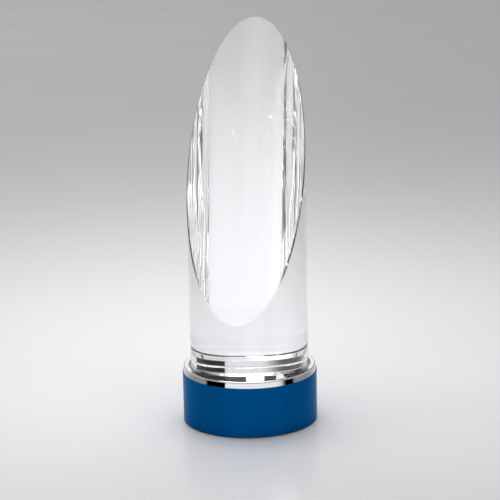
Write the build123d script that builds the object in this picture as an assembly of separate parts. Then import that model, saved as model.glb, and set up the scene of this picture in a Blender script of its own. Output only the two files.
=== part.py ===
from build123d import *
import math
import os

# Slant-cut crystal column award on a blue anodised base, built as it goes together on the bench.
#
# A solid optical crystal rod, cut across at a steep slant and polished, stands in a round socket and is
# held there by a film of clear adhesive. The socket is turned in a polished, chrome-plated seat with a
# flared mouth and a rolled lip. A spigot under the seat drops into a blue anodised aluminium drum. One
# bolt with its two washers comes up from below through a steel ballast disc and pulls ballast, drum and
# seat together. A felt pad covers the underside.
#
# Frame: millimetres, +Z up. The origin is on the surface that the award stands on, on the column's axis.
# The slanted face looks towards -Y and up: its lowest point is at -Y and its apex at +Y.

# Driving dimensions of the whole award.
overall_height = 203.0
column_radius = 30.0
front_height = 56.5  # lowest point of the slanted face above the table
drum_radius = 34.25
drum_top_z = 26.0
seat_top_z = 29.2
socket_depth = 5.45

# Crystal column.
face_arris = 0.6  # polished flat along the rim of the slanted face, measured on each side
foot_arris = 0.5  # polished flat around the foot

# Adhesive film under the column.
bond_thickness = 0.15
bond_inset = 0.2  # how far the film stays inside the foot's arris

# Chrome seat.
socket_clearance = 0.1
mouth_height = 2.0  # the socket's mouth flares outwards over this height
mouth_width = 1.0
rim_setback = 0.3  # the rim's foot stands this far inside the drum
lip_reach = 33.6  # outermost radius of the rolled lip
lip_section_radius = 0.45
spigot_radius = 32.0
spigot_depth = 4.7
spigot_chamfer = 0.5
boss_radius = 8.0
boss_bottom_z = 16.3
tapped_hole_top_z = 22.9

# Blue drum.
drum_bottom_z = 0.5  # the felt stands this much proud of the drum
drum_wall = 4.0
drum_web_top_z = 21.0
drum_web_bottom_z = 16.0
drum_edge_break = 0.3
spigot_clearance = 0.1
boss_clearance = 0.1

# Ballast, felt and fasteners.
felt_thickness = 2.0
ballast_clearance = 0.25
ballast_chamfer = 0.5
counterbore_radius = 8.0
counterbore_roof_z = 9.5
thread_radius = 3.0
thread_clearance = 0.05
bolt_length = 16.0
bolt_head_height = 4.0
bolt_head_across_flats = 10.0
bolt_tip_chamfer = 0.6
through_hole_radius = 3.3
washer_thickness = 1.6
flat_washer_radius = 6.0
flat_washer_bore = 3.2
spring_washer_radius = 5.9
spring_washer_bore = 3.1
spring_washer_gap = 1.4

# Worked out from the above.
socket_floor_z = seat_top_z - socket_depth
column_foot_z = socket_floor_z + bond_thickness
socket_radius = column_radius + socket_clearance
bond_radius = column_radius - foot_arris - bond_inset
rim_foot_radius = drum_radius - rim_setback
lip_ring_radius = lip_reach - lip_section_radius
lip_ring_z = seat_top_z - lip_section_radius
drum_bore_radius = spigot_radius + spigot_clearance
cavity_radius = drum_radius - drum_wall
ballast_radius = cavity_radius - ballast_clearance
spigot_bottom_z = drum_top_z - spigot_depth
slant_angle = math.degrees(math.atan2(overall_height - front_height, 2 * column_radius))
flat_washer_bottom_z = counterbore_roof_z - washer_thickness
spring_washer_bottom_z = flat_washer_bottom_z - washer_thickness
bolt_head_bottom_z = spring_washer_bottom_z - bolt_head_height


def turned(points):
    """A solid turned about Z from a closed outline of (radius, height) points."""
    with BuildPart() as part:
        with BuildSketch(Plane.XZ):
            with BuildLine():
                Polyline(*points, close=True)
            make_face()
        revolve(axis=Axis.Z)
    return part.part


def disc(radius, bottom_z, top_z):
    """A plain disc or rod on the Z axis."""
    return Pos(0, 0, (bottom_z + top_z) / 2) * Cylinder(radius, top_z - bottom_z)


def crystal_column():
    """Round rod, cut across at the slant, with a fine polished arris on both rims."""
    rod = disc(column_radius, column_foot_z, overall_height)
    middle_z = (front_height + overall_height) / 2
    cutter_size = 3 * overall_height  # wide enough to take everything above the slant in one cut
    above_slant = Pos(0, 0, middle_z) * Rot(slant_angle, 0, 0) * Pos(0, 0, cutter_size / 2)
    column = rod - above_slant * Box(cutter_size, cutter_size, cutter_size)
    foot_edge = column.edges().filter_by(GeomType.CIRCLE).sort_by(Axis.Z)[0]
    column = chamfer(foot_edge, foot_arris)
    slanted_face = column.faces().filter_by(GeomType.PLANE).sort_by(Axis.Z)[-1]
    return chamfer(slanted_face.edges(), face_arris)


def column_bond():
    """Film of clear adhesive between the column's foot and the socket's floor."""
    return disc(bond_radius, socket_floor_z, column_foot_z)


def chrome_seat():
    """Turned seat: flared socket for the column, flat land, rolled lip, tapered rim, spigot and boss."""
    body = turned(
        [
            (0, socket_floor_z),
            (socket_radius, socket_floor_z),
            (socket_radius, seat_top_z - mouth_height),
            (socket_radius + mouth_width, seat_top_z),
            (lip_ring_radius, seat_top_z),
            (lip_ring_radius, lip_ring_z),
            (rim_foot_radius, drum_top_z),
            (spigot_radius, drum_top_z),
            (spigot_radius, spigot_bottom_z + spigot_chamfer),
            (spigot_radius - spigot_chamfer, spigot_bottom_z),
            (boss_radius, spigot_bottom_z),
            (boss_radius, boss_bottom_z),
            (thread_radius + thread_clearance, boss_bottom_z),
            (thread_radius + thread_clearance, tapped_hole_top_z),
            (0, tapped_hole_top_z),
        ]
    )
    lip = Pos(0, 0, lip_ring_z) * Torus(lip_ring_radius, lip_section_radius)
    return body + lip


def base_drum():
    """Blue anodised drum: a turned tube with a web inside that the bolt clamps against."""
    return turned(
        [
            (boss_radius + boss_clearance, drum_web_top_z),
            (drum_bore_radius, drum_web_top_z),
            (drum_bore_radius, drum_top_z),
            (drum_radius - drum_edge_break, drum_top_z),
            (drum_radius, drum_top_z - drum_edge_break),
            (drum_radius, drum_bottom_z + drum_edge_break),
            (drum_radius - drum_edge_break, drum_bottom_z),
            (cavity_radius, drum_bottom_z),
            (cavity_radius, drum_web_bottom_z),
            (boss_radius + boss_clearance, drum_web_bottom_z),
        ]
    )


def ballast_disc():
    """Steel weight that fills the drum, bored for the bolt and counterbored for its head."""
    return turned(
        [
            (counterbore_radius, felt_thickness),
            (ballast_radius - ballast_chamfer, felt_thickness),
            (ballast_radius, felt_thickness + ballast_chamfer),
            (ballast_radius, drum_web_bottom_z - ballast_chamfer),
            (ballast_radius - ballast_chamfer, drum_web_bottom_z),
            (through_hole_radius, drum_web_bottom_z),
            (through_hole_radius, counterbore_roof_z),
            (counterbore_radius, counterbore_roof_z),
        ]
    )


def centre_bolt():
    """Hexagon-head bolt, head down, whose shank stands in for its thread."""
    shank_top_z = spring_washer_bottom_z + bolt_length
    shank = turned(
        [
            (0, spring_washer_bottom_z),
            (thread_radius, spring_washer_bottom_z),
            (thread_radius, shank_top_z - bolt_tip_chamfer),
            (thread_radius - bolt_tip_chamfer, shank_top_z),
            (0, shank_top_z),
        ]
    )
    hexagon = RegularPolygon(bolt_head_across_flats / 2, 6, major_radius=False)
    head = extrude(Pos(0, 0, bolt_head_bottom_z) * hexagon, bolt_head_height)
    return shank + head


def flat_washer():
    """Plain washer against the ballast."""
    rim = disc(flat_washer_radius, flat_washer_bottom_z, counterbore_roof_z)
    return rim - disc(flat_washer_bore, flat_washer_bottom_z, counterbore_roof_z)


def spring_washer():
    """Split lock washer under the bolt's head, drawn flat as it is when tight."""
    rim = disc(spring_washer_radius, spring_washer_bottom_z, flat_washer_bottom_z)
    ring = rim - disc(spring_washer_bore, spring_washer_bottom_z, flat_washer_bottom_z)
    middle_z = (spring_washer_bottom_z + flat_washer_bottom_z) / 2
    gap = Box(spring_washer_radius, spring_washer_gap, washer_thickness)
    return ring - Pos(spring_washer_radius / 2, 0, middle_z) * gap


def felt_pad():
    """Self-adhesive felt disc that the award stands on, let into the drum."""
    return disc(ballast_radius, 0, felt_thickness)


PARTS = {
    "crystal_column": crystal_column,
    "column_bond": column_bond,
    "chrome_seat": chrome_seat,
    "base_drum": base_drum,
    "ballast_disc": ballast_disc,
    "centre_bolt": centre_bolt,
    "flat_washer": flat_washer,
    "spring_washer": spring_washer,
    "felt_pad": felt_pad,
}

os.makedirs("parts", exist_ok=True)
for name, make in PARTS.items():
    export_step(make(), f"parts/{name}.step")
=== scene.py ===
import math
import random

import bmesh
import bpy
from mathutils import Matrix, Vector


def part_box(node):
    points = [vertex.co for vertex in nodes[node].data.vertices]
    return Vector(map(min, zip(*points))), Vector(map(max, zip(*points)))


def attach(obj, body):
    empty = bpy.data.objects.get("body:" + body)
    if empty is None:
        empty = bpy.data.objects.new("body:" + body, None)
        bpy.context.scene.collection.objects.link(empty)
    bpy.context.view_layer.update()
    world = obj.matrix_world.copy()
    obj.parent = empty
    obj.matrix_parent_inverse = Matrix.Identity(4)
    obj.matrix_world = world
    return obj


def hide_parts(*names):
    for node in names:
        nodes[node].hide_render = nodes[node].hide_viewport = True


# Looks for the slant-cut crystal column award: a polished optical crystal rod in a chrome seat on a
# satin blue anodised drum. Metres, +Z up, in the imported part's own frame.

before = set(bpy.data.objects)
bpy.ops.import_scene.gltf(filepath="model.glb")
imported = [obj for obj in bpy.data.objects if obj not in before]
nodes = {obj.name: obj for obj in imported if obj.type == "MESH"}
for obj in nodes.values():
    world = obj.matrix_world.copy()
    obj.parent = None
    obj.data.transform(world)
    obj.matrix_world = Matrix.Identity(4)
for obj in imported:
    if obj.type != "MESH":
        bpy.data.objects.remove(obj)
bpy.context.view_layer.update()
random.seed(7)

MM = 0.001
TURNED_SEGMENTS = 384  # round metal pieces
CRYSTAL_SEGMENTS = 1152

# Where things are, read from the frame.
column_low, column_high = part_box("crystal_column")
seat_low, seat_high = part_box("chrome_seat")
drum_low, drum_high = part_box("base_drum")
bond_low, bond_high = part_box("column_bond")
column_radius = (column_high.x - column_low.x) / 2
column_foot = column_low.z
drum_radius = (drum_high.x - drum_low.x) / 2
seat_reach = (seat_high.x - seat_low.x) / 2  # the foot of the tapered rim

# The crystal's cut, as designed: the whole rod would end at this height before its rim is eased.
rod_top = 203.0 * MM
slant_bottom = 56.5 * MM
face_arris = 0.6 * MM
foot_arris = 0.5 * MM
slant = (rod_top - slant_bottom) / (2 * column_radius)  # rise over run of the slanted face
foot_gap = 0.02 * MM  # hair of air that keeps the crystal clear of the adhesive film
ripple_size = 0.00025 * MM  # radius error that hand polishing leaves

# The seat's section.
socket_radius = column_radius + 0.1 * MM
mouth_height = 2.0 * MM
mouth_width = 1.0 * MM
edge_softness = 0.12 * MM  # radius of the polished corners
support_inset = 0.03 * MM  # how far inside a flat its support rings lie
lip_section = 0.45 * MM
lip_ring = 33.6 * MM - lip_section
under_lip_out = 0.17 * MM  # where the lip's curve runs into the tapered rim, from the lip's centre
under_lip_down = 0.42 * MM
spigot_radius = 32.0 * MM
spigot_depth = 4.7 * MM
spigot_chamfer = 0.5 * MM
boss_radius = 8.0 * MM
thread_hole_radius = 3.05 * MM
thread_hole_top = 22.9 * MM

# The drum's section.
drum_edge = 0.3 * MM
drum_bore = spigot_radius + 0.1 * MM
drum_web_top = 21.0 * MM
drum_web_bottom = 16.0 * MM
drum_cavity = drum_radius - 4.0 * MM
drum_boss_bore = boss_radius + 0.1 * MM

# Camera: a short telephoto about a metre away, looking down at the award from its front right.
camera_azimuth = math.radians(12.52)
camera_pitch = math.radians(13.81)
camera_roll = math.radians(-1.134)
camera_distance = 1.00717
camera_lens = 143.8
aim_height = 0.088411
aim_sideways = 0.001385

# Studio.
floor_drop = 0.00005  # the floor lies this far under the felt, so that the two never coincide
light_bounces = 64  # light runs round inside the crystal dozens of times before it leaves


# ---------------------------------------------------------------------------------------------
# Node helpers
# ---------------------------------------------------------------------------------------------


class Nodes:
    """Adds shader nodes to a tree and wires values or sockets into their inputs."""

    def __init__(self, tree):
        self.tree = tree

    def add(self, kind, inputs=None, **settings):
        """A new node with its settings made and its named or numbered inputs filled."""
        node = self.tree.nodes.new(kind)
        for name, value in settings.items():
            setattr(node, name, value)
        for key, value in (inputs or {}).items():
            self.fill(node.inputs[key], value)
        return node

    def fill(self, socket, value):
        """Puts a constant on an input, or links another node's output to it."""
        if isinstance(value, bpy.types.NodeSocket):
            self.tree.links.new(value, socket)
        else:
            socket.default_value = value

    def math(self, operation, *values):
        """The result of one math operation."""
        return self.add("ShaderNodeMath", dict(enumerate(values)), operation=operation).outputs[0]

    def remap(self, value, low, high, to_low=0.0, to_high=1.0, smooth=False):
        """A value taken from one range to another and held inside it."""
        limits = {"Value": value, "From Min": low, "From Max": high, "To Min": to_low, "To Max": to_high}
        kind = "SMOOTHSTEP" if smooth else "LINEAR"
        return self.add("ShaderNodeMapRange", limits, interpolation_type=kind).outputs[0]

    def object_point(self, scale=(1.0, 1.0, 1.0)):
        """The point on the object, stretched to set the grain's direction and size."""
        place = self.add("ShaderNodeTexCoord").outputs["Object"]
        return self.add("ShaderNodeMapping", {"Vector": place, "Scale": scale}).outputs[0]

    def noise(self, point, scale, detail=3.0, roughness=0.5):
        """Smooth random values from 0 to 1."""
        values = {"Vector": point, "Scale": scale, "Detail": detail, "Roughness": roughness}
        return self.add("ShaderNodeTexNoise", values).outputs["Fac"]

    def blend(self, factor, first, second):
        """A colour between two colours."""
        node = self.add("ShaderNodeMix", data_type="RGBA")
        self.fill(node.inputs[0], factor)
        self.fill(node.inputs[6], first)
        self.fill(node.inputs[7], second)
        return node.outputs[2]

    def bump(self, height, strength, distance):
        """A bumped normal from a height value."""
        values = {"Height": height, "Strength": strength, "Distance": distance}
        return self.add("ShaderNodeBump", values).outputs[0]


def new_material(name, **constants):
    """A Principled material with constants set on its sockets. Returns it with its nodes and shader."""
    material = bpy.data.materials.new(name)
    material.use_nodes = True
    shader = material.node_tree.nodes["Principled BSDF"]
    for socket, value in constants.items():
        shader.inputs[socket.replace("_", " ")].default_value = value
    return material, Nodes(material.node_tree), shader


def turning_marks(n, rings_per_metre, spacing_noise):
    """Concentric lathe lines, as a height from 0 to 1 that depends on radius and height only."""
    place = n.add("ShaderNodeTexCoord").outputs["Object"]
    x, y, z = n.add("ShaderNodeSeparateXYZ", {0: place}).outputs[:3]
    radius = n.math("SQRT", n.math("ADD", n.math("POWER", x, 2.0), n.math("POWER", y, 2.0)))
    line = n.add("ShaderNodeCombineXYZ", {0: radius, 2: z}).outputs[0]
    scaling = {0: line, "Scale": rings_per_metre}
    scaled = n.add("ShaderNodeVectorMath", scaling, operation="SCALE").outputs[0]
    return n.noise(scaled, 1.0, detail=spacing_noise, roughness=0.6)


# ---------------------------------------------------------------------------------------------
# Materials
# ---------------------------------------------------------------------------------------------


def clear_crystal():
    """Optical crystal: water-clear, with a very faint cast that varies softly."""
    material, n, shader = new_material("clear_crystal", Roughness=0.0, IOR=1.52, Transmission_Weight=1.0)
    cloud = n.noise(n.object_point(), 9.0, detail=2.0)
    n.fill(shader.inputs["Base Color"], n.blend(cloud, (0.965, 0.970, 0.975, 1), (0.985, 0.985, 0.990, 1)))
    return material


def ground_crystal():
    """The foot's arris, left as ground: the same crystal, matt."""
    material, n, shader = new_material("clear_crystal_ground", IOR=1.52, Transmission_Weight=1.0)
    grit = n.noise(n.object_point(), 3000.0, detail=2.0)
    n.fill(shader.inputs["Base Color"], n.blend(grit, (0.93, 0.94, 0.96, 1), (1.0, 1.0, 1.0, 1)))
    n.fill(shader.inputs["Roughness"], n.remap(grit, 0.3, 0.7, 0.35, 0.55))
    return material


def arris_crystal():
    """The slanted face's arris, with painted shade: coloured dark along both flanks by its position on the
    crystal, and left clear in a few small breaks that show bright."""
    material, n, shader = new_material("crystal_arris_painted_shade", IOR=1.52, Transmission_Weight=1.0)
    sideways = n.add("ShaderNodeSeparateXYZ", {0: n.object_point()}).outputs[0]
    # Painted shade: the arris colour turns dark across the crystal's flanks, set by position on the crystal.
    flank = n.remap(n.math("ABSOLUTE", sideways), 0.64 * column_radius, 0.76 * column_radius, smooth=True)
    grit = n.noise(n.object_point(), 330.0, detail=2.0)
    # Small breaks in the painted shade, where the arris stays clear crystal.
    shade_breaks = n.remap(grit, 0.62, 0.66)
    painted_flank_shade = n.math("MULTIPLY", flank, n.math("SUBTRACT", 1.0, shade_breaks))
    n.fill(shader.inputs["Base Color"], n.blend(painted_flank_shade, (0.97, 0.97, 0.98, 1), (0.04, 0.05, 0.05, 1)))
    n.fill(shader.inputs["Roughness"], n.remap(grit, 0.3, 0.7, 0.02, 0.12))
    return material


def clear_adhesive():
    """Cured clear adhesive, a little uneven where it spread."""
    material, n, shader = new_material("clear_adhesive", IOR=1.5, Transmission_Weight=1.0)
    spread = n.noise(n.object_point(), 120.0, detail=2.0)
    n.fill(shader.inputs["Base Color"], n.blend(spread, (0.95, 0.96, 0.95, 1), (0.99, 0.99, 0.98, 1)))
    n.fill(shader.inputs["Roughness"], n.remap(spread, 0.3, 0.7, 0.02, 0.08))
    return material


def polished_chrome():
    """Mirror chrome over fine turning marks, with faint haze where it has been wiped."""
    material, n, shader = new_material("polished_chrome", Metallic=1.0)
    haze = n.noise(n.object_point(), 160.0, detail=4.0)
    marks = turning_marks(n, 9000.0, 3.0)
    n.fill(shader.inputs["Base Color"], n.blend(haze, (0.60, 0.61, 0.63, 1), (0.66, 0.665, 0.68, 1)))
    n.fill(shader.inputs["Roughness"], n.remap(haze, 0.35, 0.75, 0.012, 0.035))
    n.fill(shader.inputs["Normal"], n.bump(marks, 0.04, 0.00001))
    return material


def blue_anodised():
    """Satin blue anodising over a finely turned drum: deep colour, soft sheen, paler worn edges."""
    material, n, shader = new_material("blue_anodised", Metallic=1.0, Specular_Tint=(0.55, 0.70, 0.82, 1))
    marks = turning_marks(n, 5200.0, 4.0)
    speckle = n.noise(n.object_point(), 2600.0, detail=2.0)
    cloud = n.noise(n.object_point(), 38.0, detail=3.0)
    dye = n.blend(cloud, (0.0, 0.072, 0.236, 1), (0.0, 0.086, 0.272, 1))
    edge = n.add("ShaderNodeBevel", {"Radius": 0.0004}, samples=4).outputs[0]
    flat = n.add("ShaderNodeNewGeometry").outputs["Normal"]
    straight = n.add("ShaderNodeVectorMath", {0: edge, 1: flat}, operation="DOT_PRODUCT").outputs["Value"]
    worn = n.remap(n.math("MULTIPLY", n.math("SUBTRACT", 1.0, straight), speckle), 0.01, 0.12, 0.0, 0.5)
    n.fill(shader.inputs["Base Color"], n.blend(worn, dye, (0.30, 0.36, 0.45, 1)))
    n.fill(shader.inputs["Roughness"], n.remap(speckle, 0.3, 0.7, 0.27, 0.36))
    grain = n.math("ADD", n.math("MULTIPLY", marks, 0.7), n.math("MULTIPLY", speckle, 0.3))
    n.fill(shader.inputs["Normal"], n.bump(grain, 0.12, 0.00003))
    return material


def ballast_steel():
    """Turned mild steel with an oily film and a few darker patches."""
    material, n, shader = new_material("ballast_steel", Metallic=1.0)
    patches = n.noise(n.object_point(), 55.0, detail=5.0)
    marks = turning_marks(n, 3000.0, 3.0)
    n.fill(shader.inputs["Base Color"], n.blend(patches, (0.27, 0.26, 0.26, 1), (0.45, 0.45, 0.46, 1)))
    n.fill(shader.inputs["Roughness"], n.remap(marks, 0.3, 0.7, 0.28, 0.46))
    n.fill(shader.inputs["Normal"], n.bump(marks, 0.3, 0.00005))
    return material


def zinc_steel():
    """Bright zinc plating, slightly yellow and blotchy, as on bought fasteners."""
    material, n, shader = new_material("zinc_steel", Metallic=1.0)
    blotch = n.noise(n.object_point(), 420.0, detail=4.0)
    n.fill(shader.inputs["Base Color"], n.blend(blotch, (0.55, 0.54, 0.48, 1), (0.72, 0.73, 0.72, 1)))
    n.fill(shader.inputs["Roughness"], n.remap(blotch, 0.3, 0.7, 0.22, 0.40))
    n.fill(shader.inputs["Normal"], n.bump(blotch, 0.15, 0.00003))
    return material


def felt():
    """Black pressed felt: matted fibres, a soft sheen and stray paler hairs."""
    material, n, shader = new_material("felt", Sheen_Weight=0.6, Sheen_Roughness=0.5, Roughness=0.95)
    fibres = n.noise(n.object_point((1.0, 0.25, 1.0)), 1900.0, detail=5.0, roughness=0.7)
    matting = n.noise(n.object_point((0.3, 1.0, 1.0)), 700.0, detail=3.0)
    hair = n.remap(fibres, 0.62, 0.72)
    body = n.blend(matting, (0.010, 0.010, 0.012, 1), (0.030, 0.030, 0.034, 1))
    n.fill(shader.inputs["Base Color"], n.blend(hair, body, (0.11, 0.11, 0.12, 1)))
    n.fill(shader.inputs["Normal"], n.bump(fibres, 0.6, 0.0003))
    return material


def pale_floor():
    """Plain pale sweep paper with a slight satin."""
    material, n, shader = new_material("pale_floor")
    fibre = n.noise(n.object_point(), 9.0, detail=2.0)
    n.fill(shader.inputs["Base Color"], n.blend(fibre, (0.595, 0.595, 0.613, 1), (0.605, 0.605, 0.623, 1)))
    n.fill(shader.inputs["Roughness"], n.remap(fibre, 0.3, 0.7, 0.24, 0.27))
    return material


# ---------------------------------------------------------------------------------------------
# Mesh building
# ---------------------------------------------------------------------------------------------


def arc(centre, radius, start, end, steps):
    """Points of a round stretch in a section: centre as (radius, height), angles in degrees."""
    angles = [math.radians(start + (end - start) * i / steps) for i in range(steps + 1)]
    return [(centre[0] + radius * math.cos(a), centre[1] + radius * math.sin(a)) for a in angles]


def rounded(before, corner, after, radius, steps=5):
    """A section's corner with its point swapped for a small tangent curve."""
    here = Vector(corner)
    start = here + (Vector(before) - here).normalized() * radius
    end = here + (Vector(after) - here).normalized() * radius
    curve = []
    for i in range(steps + 1):
        t = i / steps
        curve.append(tuple(start * (1 - t) ** 2 + here * 2 * t * (1 - t) + end * t * t))
    return curve


def add_piece(name, mesh, node, material):
    """Puts a finished mesh in the scene, standing for its CAD node and riding on the one body."""
    piece = bpy.data.objects.new(name, mesh)
    bpy.context.scene.collection.objects.link(piece)
    mesh.materials.append(material)
    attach(piece, "root")
    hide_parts(node)
    return piece


def bridge(bm, lower, upper, material_index=0):
    """Quads between two rings of the same count, or triangles to a single point."""
    count = max(len(lower), len(upper))
    for i in range(count):
        j = (i + 1) % count
        corners = [lower[i % len(lower)], lower[j % len(lower)], upper[j % len(upper)], upper[i % len(upper)]]
        face = bm.faces.new(list(dict.fromkeys(corners)))
        face.material_index = material_index


def finished_mesh(bm, name, sharp_degrees):
    """Closes off a bmesh: outward normals, smooth shading, true corners kept sharp."""
    bmesh.ops.recalc_face_normals(bm, faces=bm.faces)
    mesh = bpy.data.meshes.new(name)
    bm.to_mesh(mesh)
    bm.free()
    mesh.shade_smooth()
    mesh.set_sharp_from_angle(angle=math.radians(sharp_degrees))
    return mesh


def with_support_rings(section):
    """The section with a point just inside both ends of every long stretch, so that flats and
    straight walls shade flat beside rounded corners."""
    supported = []
    for here, there in zip(section, section[1:] + section[:1]):
        stretch = Vector(there) - Vector(here)
        supported.append(here)
        if stretch.length > 12 * support_inset:
            step = stretch.normalized() * support_inset
            supported += [tuple(Vector(here) + step), tuple(Vector(there) - step)]
    return supported


def turned_mesh(name, section, sharp_degrees=24):
    """A closed (radius, height) section turned round Z. A radius of zero becomes one point."""
    bm = bmesh.new()
    rings = []
    for radius, height in with_support_rings(section):
        if radius < 1e-7:
            rings.append([bm.verts.new((0, 0, height))])
            continue
        ring = []
        for i in range(TURNED_SEGMENTS):
            a = 2 * math.pi * i / TURNED_SEGMENTS
            ring.append(bm.verts.new((radius * math.cos(a), radius * math.sin(a), height)))
        rings.append(ring)
    for lower, upper in zip(rings, rings[1:] + rings[:1]):
        if len(lower) > 1 or len(upper) > 1:
            bridge(bm, lower, upper)
    return finished_mesh(bm, name, sharp_degrees)


# ---------------------------------------------------------------------------------------------
# Pieces
# ---------------------------------------------------------------------------------------------


def polish_ripple():
    """Radius error of the hand-polished rod at each angle: long soft waves, well under a micron."""
    waves = [(k, random.uniform(0, 2 * math.pi), random.uniform(0.5, 1.0)) for k in (31, 47, 67, 89)]

    def error(angle):
        return ripple_size * sum(w * 31 / k * math.sin(k * angle + p) for k, p, w in waves)

    return error


def crystal_mesh():
    """The rod from its eased foot to the slanted oval face with its polished arris."""
    bm = bmesh.new()
    ripple = polish_ripple()
    middle = (rod_top + slant_bottom) / 2
    stretch = math.sqrt(1 + slant * slant)  # the oval's length over its width
    foot, wall_foot, wall_top, rim = [], [], [], []
    for i in range(CRYSTAL_SEGMENTS):
        a = 2 * math.pi * i / CRYSTAL_SEGMENTS
        c, s = math.cos(a), math.sin(a)
        r = column_radius + ripple(a)
        base = column_foot + foot_gap
        foot.append(bm.verts.new(((r - foot_arris) * c, (r - foot_arris) * s, base)))
        wall_foot.append(bm.verts.new((r * c, r * s, base + foot_arris)))
        down = face_arris * math.sqrt(1 + (slant * c) ** 2)  # arris width, measured down the wall
        wall_top.append(bm.verts.new((r * c, r * s, middle + slant * r * s - down)))
        out_x, out_w = stretch * c, s  # the oval's outward direction, in the face's own plane
        length = math.hypot(out_x, out_w)
        x = r * c - face_arris * out_x / length
        y = (stretch * r * s - face_arris * out_w / length) / stretch
        rim.append(bm.verts.new((x, y, middle + slant * y)))
    bm.faces.new(foot)
    bridge(bm, foot, wall_foot, material_index=1)
    bridge(bm, wall_foot, wall_top)
    bridge(bm, wall_top, rim, material_index=2)
    bm.faces.new(rim)
    return finished_mesh(bm, "crystal_column_polished", 8)


def bond_mesh():
    """The adhesive film, with its edge drawn in to a rounded bead."""
    half = (bond_high.z - bond_low.z) / 2
    radius = (bond_high.x - bond_low.x) / 2
    edge = arc((radius - half, bond_low.z + half), half, -90, 90, 8)
    return turned_mesh("adhesive_film", [(0, bond_low.z), *edge, (0, bond_high.z)])


def seat_section():
    """Outline of the chrome seat, from the socket's floor round to the underside of its boss."""
    top = seat_high.z
    floor = bond_low.z
    mouth_low = (socket_radius, top - mouth_height)
    mouth_top = (socket_radius + mouth_width, top)
    lip_centre = (lip_ring, top - lip_section)
    under_lip = (lip_ring + under_lip_out, top - lip_section - under_lip_down)
    rim_foot = (seat_reach, drum_high.z)
    spigot_bottom = drum_high.z - spigot_depth
    return [
        (0, floor),
        (socket_radius, floor),
        *rounded((socket_radius, floor), mouth_low, mouth_top, edge_softness),
        *rounded(mouth_low, mouth_top, (lip_ring, top), edge_softness),
        *arc(lip_centre, lip_section, 90, -60, 20),
        under_lip,
        rim_foot,
        (spigot_radius, drum_high.z),
        (spigot_radius, spigot_bottom + spigot_chamfer),
        (spigot_radius - spigot_chamfer, spigot_bottom),
        (boss_radius, spigot_bottom),
        (boss_radius, seat_low.z),
        (thread_hole_radius, seat_low.z),
        (thread_hole_radius, thread_hole_top),
        (0, thread_hole_top),
    ]


def drum_section():
    """Outline of the blue drum: wall, rounded outer edges, and the web that the bolt clamps."""
    top, bottom = drum_high.z, drum_low.z
    return [
        (drum_boss_bore, drum_web_top),
        (drum_bore, drum_web_top),
        (drum_bore, top),
        *arc((drum_radius - drum_edge, top - drum_edge), drum_edge, 90, 0, 8),
        *arc((drum_radius - drum_edge, bottom + drum_edge), drum_edge, 0, -90, 8),
        (drum_cavity, bottom),
        (drum_cavity, drum_web_bottom),
        (drum_boss_bore, drum_web_bottom),
    ]


def build_pieces():
    """The visible pieces, each standing for its CAD node."""
    chrome = polished_chrome()
    blue = blue_anodised()
    crystal = crystal_mesh()
    add_piece("crystal_column_polished", crystal, "crystal_column", clear_crystal())
    crystal.materials.append(ground_crystal())
    crystal.materials.append(arris_crystal())
    add_piece("adhesive_film", bond_mesh(), "column_bond", clear_adhesive())
    seat = turned_mesh("chrome_seat_polished", seat_section())
    add_piece("chrome_seat_polished", seat, "chrome_seat", chrome)
    drum = turned_mesh("base_drum_anodised", drum_section())
    add_piece("base_drum_anodised", drum, "base_drum", blue)


def finish_cad_nodes():
    """Materials for the CAD nodes that are carried over as they are."""
    zinc = zinc_steel()
    finishes = {
        "ballast_disc": ballast_steel(),
        "centre_bolt": zinc,
        "flat_washer": zinc,
        "spring_washer": zinc,
        "felt_pad": felt(),
    }
    for node, material in finishes.items():
        mesh = nodes[node].data
        mesh.materials.clear()
        mesh.materials.append(material)


# ---------------------------------------------------------------------------------------------
# Studio
# ---------------------------------------------------------------------------------------------


def make_camera():
    """Camera at the front right, slightly above, with the small tilt of a hand-levelled stand."""
    data = bpy.data.cameras.new("camera")
    data.sensor_width = 36.0
    data.lens = camera_lens
    data.clip_start = 0.05
    data.clip_end = 60.0
    camera = bpy.data.objects.new("camera", data)
    bpy.context.scene.collection.objects.link(camera)
    bpy.context.scene.camera = camera
    right = Vector((math.cos(camera_azimuth), math.sin(camera_azimuth), 0))
    ahead = Vector((-math.sin(camera_azimuth), math.cos(camera_azimuth), 0))
    view = ahead * math.cos(camera_pitch) - Vector((0, 0, math.sin(camera_pitch)))
    up = right.cross(view)
    level_x = right * math.cos(camera_roll) + up * math.sin(camera_roll)
    level_y = up * math.cos(camera_roll) - right * math.sin(camera_roll)
    aim = right * aim_sideways + Vector((0, 0, aim_height))
    matrix = Matrix((level_x, level_y, -view)).transposed().to_4x4()
    matrix.translation = aim - view * camera_distance
    camera.matrix_world = matrix


def make_floor():
    """A wide pale floor that the award stands on."""
    bm = bmesh.new()
    half = 9.0
    corners = [(-half, -half), (half, -half), (half, half), (-half, half)]
    bm.faces.new([bm.verts.new((x, y, -floor_drop)) for x, y in corners])
    mesh = bpy.data.meshes.new("floor")
    bm.to_mesh(mesh)
    bm.free()
    mesh.materials.append(pale_floor())
    floor = bpy.data.objects.new("floor", mesh)
    bpy.context.scene.collection.objects.link(floor)


def softbox(name, place, size, radiance, aim):
    """A rectangular soft light that no camera sees directly."""
    data = bpy.data.lights.new(name, "AREA")
    data.shape = "RECTANGLE"
    data.size, data.size_y = size
    data.energy = radiance * math.pi * size[0] * size[1]
    light = bpy.data.objects.new(name, data)
    light.location = place
    light.rotation_mode = "QUATERNION"
    light.rotation_quaternion = (Vector(aim) - Vector(place)).to_track_quat("-Z", "Y")
    light.visible_camera = False
    bpy.context.scene.collection.objects.link(light)


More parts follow.
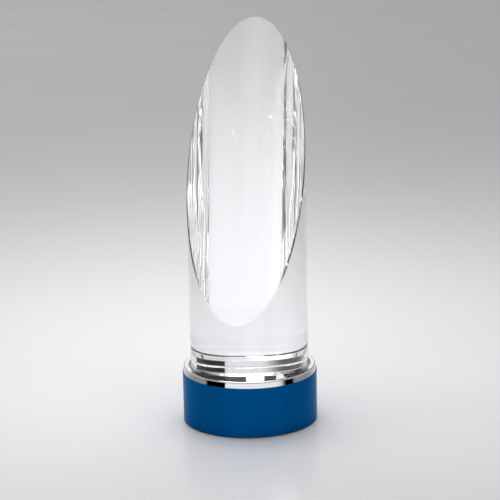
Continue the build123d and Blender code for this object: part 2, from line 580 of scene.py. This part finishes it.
def studio_world():
    """The room's light, fixed in the world: pale walls, a wide front window with a brighter one in it,
    a pale ceiling in front between two dark areas, dark flags and thin dark strips above the horizon,
    and a narrow rear window. Angles are in degrees. Azimuth is counted from the camera's side for the
    front and from the far side for the rear, positive to the camera's right."""
    world = bpy.data.worlds.new("studio")
    world.use_nodes = True
    bpy.context.scene.world = world
    n = Nodes(world.node_tree)
    direction = n.add("ShaderNodeTexCoord").outputs["Generated"]
    turn = {"Vector": direction, "Angle": -camera_azimuth}
    turned = n.add("ShaderNodeVectorRotate", turn, rotation_type="Z_AXIS").outputs[0]
    x, y, z = n.add("ShaderNodeSeparateXYZ", {0: turned}).outputs[:3]
    degrees = math.degrees(1.0)
    height = n.math("MULTIPLY", n.math("ARCSINE", z), degrees)
    front = n.math("MULTIPLY", n.math("ARCTAN2", x, n.math("MULTIPLY", y, -1.0)), degrees)
    rear = n.math("MULTIPLY", n.math("ARCTAN2", x, y), degrees)

    def above(value, edge, softness):
        return n.remap(value, edge - softness, edge + softness, smooth=True)

    def between(value, low, high, low_soft, high_soft):
        return n.math("SUBTRACT", above(value, low, low_soft), above(value, high, high_soft))

    def patch(side, left, right, low, high, soft_left, soft_right, soft_up):
        across = between(side, left, right, soft_left, soft_right)
        return n.math("MULTIPLY", across, between(height, low, high, soft_up, soft_up))

    def over(base, mask, level):
        keep = n.math("MULTIPLY", base, n.math("SUBTRACT", 1.0, mask))
        return n.math("ADD", keep, n.math("MULTIPLY", mask, level))

    sideways = n.math("ABSOLUTE", front)
    sloping = n.math("ADD", height, n.math("MULTIPLY", sideways, 0.164))
    # The flags stop clear of the horizon, where they would stand in the backdrop of a side view.
    flag_height = n.math("MULTIPLY", between(sloping, 16.2, 19.8, 0.5, 0.5), above(height, 5.6, 0.6))
    left_flag = n.math("MULTIPLY", between(front, -150.0, -43.0, 20.0, 1.0), flag_height)
    right_flag = n.math("MULTIPLY", between(front, 60.0, 150.0, 5.0, 20.0), flag_height)
    light = n.remap(height, 0.0, 12.0, 0.36, 0.40)
    light = over(light, patch(rear, -150.0, 150.0, 16.2, 18.4, 5.0, 5.0, 0.3), 0.03)
    light = over(light, patch(front, -130.0, -85.0, 34.0, 62.0, 5.0, 3.0, 2.0), 0.06)
    light = over(light, patch(front, 65.0, 115.0, 38.0, 64.0, 3.0, 5.0, 2.0), 0.06)
    light = over(light, patch(front, -85.0, 65.0, 42.0, 72.0, 4.0, 6.0, 2.0), 0.90)
    light = over(light, patch(front, -43.0, 60.0, 9.0, 43.0, 1.0, 8.0, 1.5), 1.25)
    light = over(light, patch(front, -50.0, -2.0, 22.0, 40.0, 4.0, 6.0, 2.0), 2.30)
    light = over(light, left_flag, 0.0)
    light = over(light, right_flag, 0.0)
    light = over(light, patch(front, 13.4, 24.0, 16.4, 18.2, 0.5, 1.0, 0.2), 0.0)
    light = over(light, patch(front, -26.0, -12.0, 16.5, 18.1, 1.0, 6.0, 0.25), 0.14)
    light = over(light, patch(rear, -10.0, 2.4, 15.6, 19.0, 0.6, 0.4, 0.3), 1.20)
    n.fill(world.node_tree.nodes["Background"].inputs["Color"], light)


def make_studio():
    """Floor, the two softboxes, the room's light and how far light is followed."""
    make_floor()
    softbox("overhead", (-0.04, 0.13, 0.40), (0.28, 0.34), 6.6, (-0.04, 0.13, 0))
    softbox("far_left", (-1.0, 1.3, 0.9), (0.8, 0.8), 1.0, (-0.3, 1.0, 0))
    studio_world()
    scene = bpy.context.scene
    scene.view_settings.view_transform = "Standard"
    scene.cycles.max_bounces = light_bounces
    scene.cycles.transmission_bounces = light_bounces
    scene.cycles.glossy_bounces = light_bounces
    scene.cycles.caustics_reflective = True
    scene.cycles.caustics_refractive = True


make_camera()
build_pieces()
finish_cad_nodes()
make_studio()
